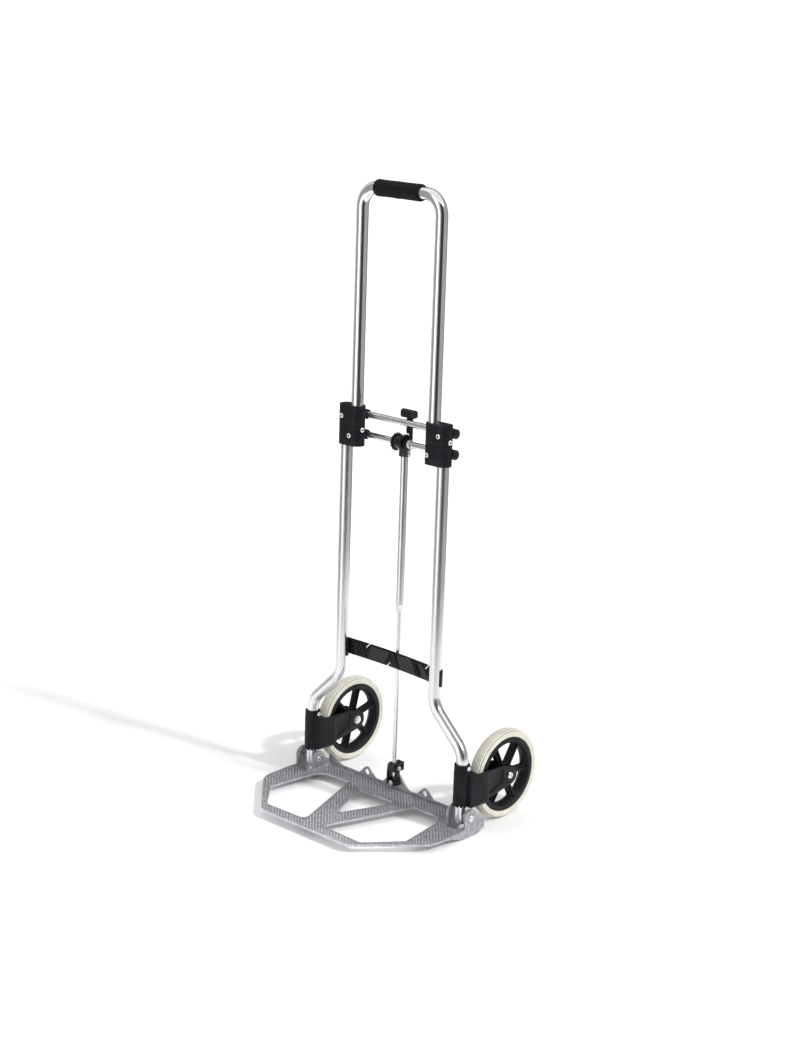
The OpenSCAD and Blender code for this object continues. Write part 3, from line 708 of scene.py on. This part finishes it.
# Rivets: [middle of the wall's curve, turn about it in degrees, height above the seam, side]
UPPER_RIVETS = [(119.5, 3, 16, -1), (118.5, 0, 17.5, 1), (119.5, 90, 7, 1)]
LOWER_RIVETS = [(95.5, -88, -6.5, -1), (100.5, 0, -18, -1), (95.5, -9, -20, 1)]
# Rivet head: [height from the seat, radius], from the foot over the ring and down into the hole
RIVET = [(0.02, 0.06), (0.02, 3.95), (0.55, 4.35), (0.8, 4.5), (1.1, 4.35), (1.6, 3.85),
         (1.95, 3.3), (2.15, 2.9), (2.0, 2.4), (1.6, 2.1), (0.45, 2.0), (0.35, 0.06)]
RIVET_SHADED_HOLE_SPANS = 3


def add_block_rivets(name, node, spots):
    """Semi-tubular rivet heads: a rounded bright ring round a hole painted black as shade."""
    turned = []
    profile = [(t * MM, r * MM) for t, r in RIVET]
    for x, turn, height, side in spots:
        a = math.radians(turn)
        out = Vector((side * math.sin(a), -math.cos(a), 0))
        seat = Vector((side * x * MM, 0, SEAM + height * MM)) + out * (BLOCK_R - 0.6 * MM)
        turned.append((LEANED @ seat, LEANED.to_3x3() @ out, profile))
    piece = joined_lathes(name, turned)
    stands_for(piece, node)
    paint(piece, "bright_rivet")
    # Painted shade: the faces down into each hole take the black steel finish.
    piece.data.materials.append(MATERIALS["black_steel"])
    count = len(profile)
    for face in piece.data.polygons:
        if face.index % count >= count - RIVET_SHADED_HOLE_SPANS:
            face.material_index = 1


def in_outline(x, y, outline):
    inside = False
    for (ax, ay), (bx, by) in zip(outline, outline[1:] + outline[:1]):
        if (ay > y) != (by > y) and x < ax + (bx - ax) * (y - ay) / (by - ay):
            inside = not inside
    return inside


def outline_distance(x, y, outline):
    best = math.inf
    for (ax, ay), (bx, by) in zip(outline, outline[1:] + outline[:1]):
        dx, dy = bx - ax, by - ay
        t = max(0, min(1, ((x - ax) * dx + (y - ay) * dy) / (dx * dx + dy * dy)))
        best = min(best, math.hypot(x - ax - t * dx, y - ay - t * dy))
    return best


def add_knurl():
    """Fine diamond knurl on the plate's top, ending in a smooth border.

    Where a folded bracket's screws come to rest on the plate, the knurl is left out.
    """
    edge = [(220.5, -24), (220.5, -101), (112, -207), (-112, -207), (-220.5, -101), (-220.5, -24),
            (-176, -24), (-176, 27), (176, 27), (176, -24)]
    side_hole = [(176, -124), (160, -12), (84, -7), (21, -181), (121, -184)]
    holes = [side_hole, [(-x, y) for x, y in side_hole], [(50, -17), (0, -128), (-50, -17)]]
    pitch, half, height, sunk, top_share = 5.4, 2.35, 0.75, 0.08, 0.45
    border, reach_all, middle_y = 5.5, 320, -105
    screw_x, screw_y, screw_clear = 191, -83.2, 7.5
    vertices, faces = [], []
    count = int(reach_all / pitch)
    for i in range(-count, count + 1):
        for j in range(-count, count + 1):
            x = (i - j) * pitch * math.sqrt(0.5)
            y = middle_y + (i + j) * pitch * math.sqrt(0.5)
            if not in_outline(x, y, edge) or outline_distance(x, y, edge) < border:
                continue
            if any(in_outline(x, y, h) or outline_distance(x, y, h) < border for h in holes):
                continue
            if math.hypot(abs(x) - screw_x, y + HINGE.y / MM - screw_y) < screw_clear:
                continue
            base = len(vertices)
            for level, reach in ((-sunk, half), (height, half * top_share)):
                for dx, dy in ((1, 0), (0, 1), (-1, 0), (0, -1)):
                    r = reach * math.sqrt(2)
                    vertices.append(((x + dx * r) * MM, HINGE.y + (y + dy * r) * MM,
                                     PLATE_TOP + level * MM))
            faces += [(base + k, base + (k + 1) % 4, base + 4 + (k + 1) % 4, base + 4 + k)
                      for k in range(4)]
            faces += [(base + 3, base + 2, base + 1, base),
                      (base + 4, base + 5, base + 6, base + 7)]
    piece = mesh_object("plate_knurl", vertices, faces)
    paint(piece, "cast_plate")
    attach(piece, "toe_plate")


def prism(vertices, faces, outline, x0, x1, place):
    """Adds the prism over an outline of [a, b] points between x0 and x1 to a mesh's lists."""
    base = len(vertices)
    count = len(outline)
    for x in (x0, x1):
        vertices += [place(x, a, b) for a, b in outline]
    faces += [(base + k, base + (k + 1) % count, base + count + (k + 1) % count, base + count + k)
              for k in range(count)]
    faces += [tuple(base + k for k in reversed(range(count))),
              tuple(base + count + k for k in range(count))]


def bar_faces(faces, base, spans):
    """Adds a bar's faces and ends; its sections have four points each, from number base on."""
    for i in range(spans):
        for k in range(4):
            m = (k + 1) % 4
            faces.append((base + 4 * i + k, base + 4 * i + m, base + 4 * i + 4 + m,
                          base + 4 * i + 4 + k))
    last = base + 4 * spans
    faces += [(base + 3, base + 2, base + 1, base), (last, last + 1, last + 2, last + 3)]


def rides_as(piece, body, slot_name):
    """An extra piece with no CAD node of its own, its faces turned outwards, fixed to a body."""
    work = bmesh.new()
    work.from_mesh(piece.data)
    bmesh.ops.recalc_face_normals(work, faces=work.faces)
    work.to_mesh(piece.data)
    work.free()
    shade(piece, 30)
    paint(piece, slot_name)
    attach(piece, body)


def rounded_rectangle(a0, b0, a1, b1, r, steps=4):
    """Outline of [a, b] points from corner a0, b0 to corner a1, b1."""
    outline = []
    for ca, cb, start in ((a1 - r, b1 - r, 0), (a0 + r, b1 - r, 90), (a0 + r, b0 + r, 180),
                          (a1 - r, b0 + r, 270)):
        for i in range(steps + 1):
            t = math.radians(start + 90 * i / steps)
            outline.append((ca + r * math.cos(t), cb + r * math.sin(t)))
    return outline


def add_rod_eye():
    """Black sleeve over the link rod's slotted eye, open where the bolt passes."""
    outer = rounded_rectangle(19.7, 19.9, 46.1, 36.1, 0.9)
    inner = rounded_rectangle(23.6, 23.8, 42.1, 32.2, 0.8)
    half_width = 7.6
    count = len(outer)
    vertices, faces = [], []
    for x in (-half_width, half_width):
        for outline in (outer, inner):
            vertices += [leaned(x * MM, w * MM, v * MM) for w, v in outline]
    for k in range(count):
        m = (k + 1) % count
        faces += [(k, m, count + m, count + k),
                  (2 * count + k, 3 * count + k, 3 * count + m, 2 * count + m),
                  (k, 2 * count + k, 2 * count + m, m),
                  (count + k, count + m, 3 * count + m, 3 * count + k)]
    piece = mesh_object("rod_eye_cover", vertices, faces)
    rides_as(piece, "link_rod", "black_steel")


def add_hub_teeth():
    """Small teeth round the hub's two discs, where the latch arm's ring turns beside them."""
    bar_behind, bar_along, teeth = 17.2, 650, 16
    vertices, faces = [], []
    for x0, x1 in ((-11.3, -8.7), (8.7, 11.3)):
        for i in range(teeth):
            a = 2 * math.pi * i / teeth
            outline = []
            for r, turn in ((14.6, -0.09), (16.9, -0.05), (16.9, 0.05), (14.6, 0.09)):
                outline.append((bar_behind + r * math.cos(a + turn),
                                bar_along + r * math.sin(a + turn)))
            prism(vertices, faces, outline, x0, x1, lambda x, w, v: leaned(x * MM, w * MM, v * MM))
    rides_as(mesh_object("hub_teeth", vertices, faces), "handle", "black_plastic")


def add_sleeve_ribs():
    """Moulded rings round the front of each bracket's sleeve and flutes down its root."""
    for side, name in ((-1, "left"), (1, "right")):
        def place(x, w, v):
            return leaned(side * (FOOT_HALF + x * MM), w * MM, v * MM)

        vertices, faces = [], []
        steps, lowest, pitch = 28, 22, 5.4
        screws_low, screws_high = 84, 96
        for ring in range(13):
            v = lowest + pitch * ring
            if screws_low < v < screws_high:
                continue
            base = len(vertices)
            for i in range(steps + 1):
                a = math.pi * (1 + i / steps)
                for r, dv in ((14.3, -1.0), (14.95, -0.45), (14.95, 0.45), (14.3, 1.0)):
                    vertices.append(place(r * math.cos(a), r * math.sin(a), v + dv))
            bar_faces(faces, base, steps)
        flute_low, flute_high = 20, 74.5
        for face_x, out in ((23, 0.5), (-15, -0.5)):  # the root's outer and inner faces
            for w in range(7, 44, 6):
                outline = [(w - 1.1, 0), (w - 0.5, 1), (w + 0.5, 1), (w + 1.1, 0)]
                prism(vertices, faces, outline, flute_low, flute_high,
                      lambda v, a, b: place(face_x - 0.1 * out + out * b, a, v))
        piece = mesh_object("sleeve_ribs_" + name, vertices, faces)
        rides_as(piece, "bracket_" + name, "black_plastic")


def strip_front(x):
    """Distance of the cross strip's front behind the tube plane, in millimetres."""
    bow, bow_half = 5, 104
    return TUBE_R / MM + (bow * (1 - (x / bow_half) ** 2) if abs(x) < bow_half else 0)


def add_strip_relief():
    """Raised plain panels on the cross strip's front with slanted ribs between them."""
    turn, middle_along, sunk = math.radians(1.1), 240, -0.15

    def place(x, dv, out):
        across = x * math.cos(turn) + dv * math.sin(turn)
        along = middle_along - x * math.sin(turn) + dv * math.cos(turn)
        return leaned(across * MM, (strip_front(x) - out) * MM, along * MM)

    vertices, faces = [], []

    def band(x_top0, x_top1, x_low0, x_low1, high, low, out, spans):
        """Raised strip between a slanted left and a slanted right edge, from low to high."""
        base = len(vertices)
        for i in range(spans + 1):
            t = i / spans
            top_x, low_x = x_top0 + (x_top1 - x_top0) * t, x_low0 + (x_low1 - x_low0) * t
            vertices.extend([place(low_x, low, sunk), place(top_x, high, sunk),
                             place(top_x - 0.3, high - 0.7, out),
                             place(low_x + 0.3, low + 0.7, out)])
        bar_faces(faces, base, spans)

    band(-56, -8, -62, -22, 13, -13, 1.5, 14)
    band(9, 47, 17, 60, 13, -13, 1.5, 10)
    band(66, 74, 78, 98, 13, -13, 1.5, 6)
    for start in (-100, -84, -2, 52):
        band(start, start + 2.4, start + 13, start + 15.4, 13, -13, 1.9, 2)
    band(-92, -89.6, -84.5, -82.1, 13, -2, 1.9, 2)
    band(-104, -101, -104, -101, 13.5, -13.5, 1.2, 2)
    piece = mesh_object("strip_relief", vertices, faces)
    rides_as(piece, "frame", "black_plastic")
    paint(piece, "black_steel")


# CAD nodes shown as copies with rounded edges, and the rounding's width in millimetres
REFINED = {
    "upper_block_left": 1.2, "upper_block_right": 1.2, "lower_block_left": 1.2,
    "lower_block_right": 1.2, "wheel_bracket_left": 0.7, "wheel_bracket_right": 0.7,
    "rim_left": 0.7, "rim_right": 0.7, "toe_plate": 0.8, "cross_strip": 0.5, "rod_hub": 0.7,
    "latch_lever": 0.7, "latch_knob": 1.0, "rod_clevis": 0.5, "upper_bar_caps": 0.7,
    "lower_bar_caps": 0.7, "clevis_bolt": 0.3, "clevis_screw": 0.3, "axle_left": 0.4,
    "axle_right": 0.4, "axle_nut_left": 0.3, "axle_nut_right": 0.3, "hinge_pin_left": 0.4,
    "hinge_pin_right": 0.4, "bracket_screws_left": 0.3, "bracket_screws_right": 0.3,
    "strip_rivets": 0.25, "hub_screws": 0.25, "link_tube_ferrule": 0.3,
}

GLOSSY = ("rod_hub", "latch_knob", "upper_bar_caps", "lower_bar_caps")

add_camera()
add_studio()
for wheel_side in ("left", "right"):
    add_tyre(wheel_side)
add_grip()
add_handle()
add_lower_tubes()
add_block_rivets("upper_rivet_heads", "upper_block_rivets", UPPER_RIVETS)
add_block_rivets("lower_rivet_heads", "lower_block_rivets", LOWER_RIVETS)
add_knurl()
add_rod_eye()
add_hub_teeth()
add_sleeve_ribs()
add_strip_relief()
for refined_node, rounding in REFINED.items():
    rounded = refined("rounded_" + refined_node, refined_node, rounding * MM)
    if refined_node in GLOSSY:
        paint(rounded, "gloss_black")
